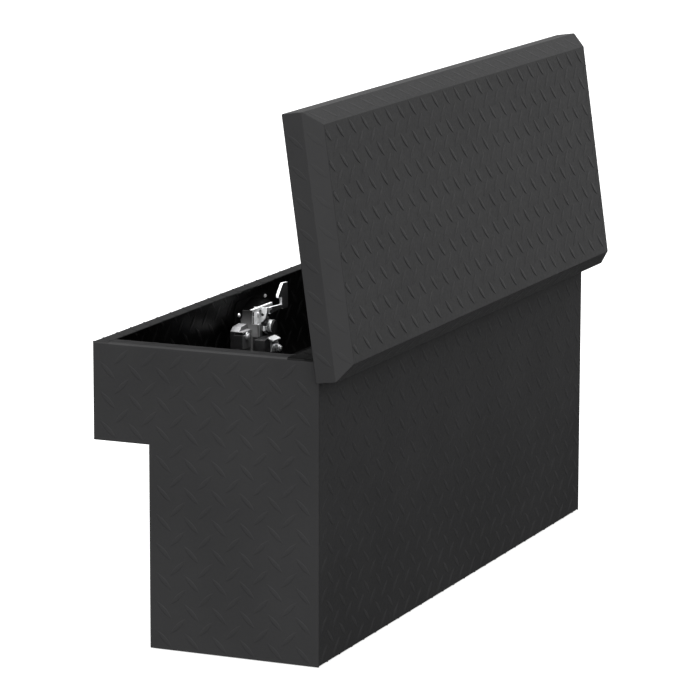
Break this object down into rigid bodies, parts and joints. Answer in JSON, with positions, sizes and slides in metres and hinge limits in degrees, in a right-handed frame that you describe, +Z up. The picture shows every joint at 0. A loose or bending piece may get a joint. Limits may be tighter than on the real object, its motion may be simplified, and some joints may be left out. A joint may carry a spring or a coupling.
{
  "type": "truck tool box",
  "caption": "Low-side truck tool box in matte black tread plate, L-shaped section, one long hinged lid on a gas strut, with a recessed T-handle and hook latch.",
  "frame": {"origin": "centre of the narrow bottom face", "axes": "+Z up, +Y along the box towards the gas-strut end, +X towards the hinge wall; the ledge and latch face -X"},
  "size_m": [0.465, 1.242, 0.9064],
  "materials": {
    "matte_black_coat": "matte textured black powder coat on tread plate",
    "satin_black_coat": "satin black coat",
    "zinc_plate": "bright zinc plate",
    "bright_plate": "polished plate",
    "plain_steel": "plain steel, lightly oiled",
    "seal_rubber": "black closed-cell rubber",
    "foam": "rigid cream foam",
    "gas_strut_black": "gloss black paint"
  },
  "bodies": {
    "box": {"body_wrap": "matte_black_coat", "end_panel_near": "matte_black_coat", "end_panel_far": "matte_black_coat", "hinge_body_leaf": "plain_steel", "hinge_pin": "plain_steel", "handle_dish": "satin_black_coat", "dish_backing_plate": "satin_black_coat", "dish_rivet_1": "bright_plate", "dish_rivet_2": "bright_plate", "dish_rivet_3": "bright_plate", "dish_rivet_4": "bright_plate", "spindle_housing": "bright_plate", "latch_frame": "zinc_plate", "hook_pivot_pin": "plain_steel", "hook_return_spring": "plain_steel", "pawl_pivot_pin": "plain_steel", "lever_bolt": "bright_plate", "latch_case": "zinc_plate", "stop_block": "zinc_plate", "block_bolt": "bright_plate", "strut_body_bracket": "gas_strut_black"},
    "lid": {"lid_outer_shell": "matte_black_coat", "lid_inner_pan": "satin_black_coat", "lid_foam_core": "foam", "lid_seal": "seal_rubber", "lid_stiffener_near": "satin_black_coat", "lid_stiffener_far": "satin_black_coat", "hinge_lid_leaf": "plain_steel", "striker_plate": "zinc_plate", "striker_loop": "zinc_plate", "striker_screw_1": "zinc_plate", "striker_screw_2": "zinc_plate", "strut_lid_bracket": "gas_strut_black"},
    "turning_spindle": {"spindle": "satin_black_coat", "handle_fold_pin": "plain_steel"},
    "folding_handle": {"t_handle": "bright_plate"},
    "key_plug": {"lock_plug": "bright_plate"},
    "hook": {"latch_hook": "zinc_plate"},
    "locking_pawl": {"pawl": "zinc_plate"},
    "rocking_lever": {"release_lever": "bright_plate"},
    "gas_tube": {"strut_tube": "gas_strut_black"},
    "gas_rod": {"strut_rod": "bright_plate"}
  },
  "joints": [
    {"name": "lid_hinge", "type": "hinge", "parent": "box", "child": "lid", "pos_m": [0.1551, 0, 0.4775], "axis": [0, -1, 0], "range_deg": [0, 82], "stiffness_Nm_per_rad": 4, "springref_deg": -85.94},
    {"name": "spindle_turn", "type": "hinge", "parent": "box", "child": "turning_spindle", "pos_m": [-0.2397, 0, 0.432], "axis": [1, 0, 0], "range_deg": [0, 90]},
    {"name": "handle_fold", "type": "hinge", "parent": "turning_spindle", "child": "folding_handle", "pos_m": [-0.2397, 0, 0.4406], "axis": [0, 1, 0], "range_deg": [0, 80]},
    {"name": "key_turn", "type": "hinge", "parent": "turning_spindle", "child": "key_plug", "pos_m": [-0.24, 0, 0.432], "axis": [1, 0, 0], "range_deg": [0, 90]},
    {"name": "hook_swing", "type": "hinge", "parent": "box", "child": "hook", "pos_m": [-0.2118, -0.002, 0.46], "axis": [1, 0, 0], "range_deg": [0, 14], "stiffness_Nm_per_rad": 0.5, "springref_deg": -17.19},
    {"name": "pawl_turn", "type": "hinge", "parent": "box", "child": "locking_pawl", "pos_m": [-0.2118, -0.028, 0.442], "axis": [-1, 0, 0], "range_deg": [0, 12]},
    {"name": "lever_rock", "type": "hinge", "parent": "box", "child": "rocking_lever", "pos_m": [-0.1985, 0, 0.393], "axis": [1, 0, 0], "range_deg": [0, 10]},
    {"name": "strut_swing", "type": "hinge", "parent": "box", "child": "gas_tube", "pos_m": [-0.165, 0.568, 0.37], "axis": [0, -1, 0], "range_deg": [-0.56, 0]},
    {"name": "strut_slide", "type": "slide", "parent": "gas_tube", "child": "gas_rod", "axis": [0.8693, 0, 0.4943], "range_m": [-0.1104, 0]}
  ],
  "couplings": [
    {"joint": "pawl_turn", "follows": "spindle_turn", "ratio": 0.1222},
    {"joint": "lever_rock", "follows": "spindle_turn", "ratio": 0.1},
    {"joint": "strut_swing", "follows": "lid_hinge", "ratio": -0.00672},
    {"joint": "strut_slide", "follows": "lid_hinge", "m_per_rad": -0.07709}
  ]
}
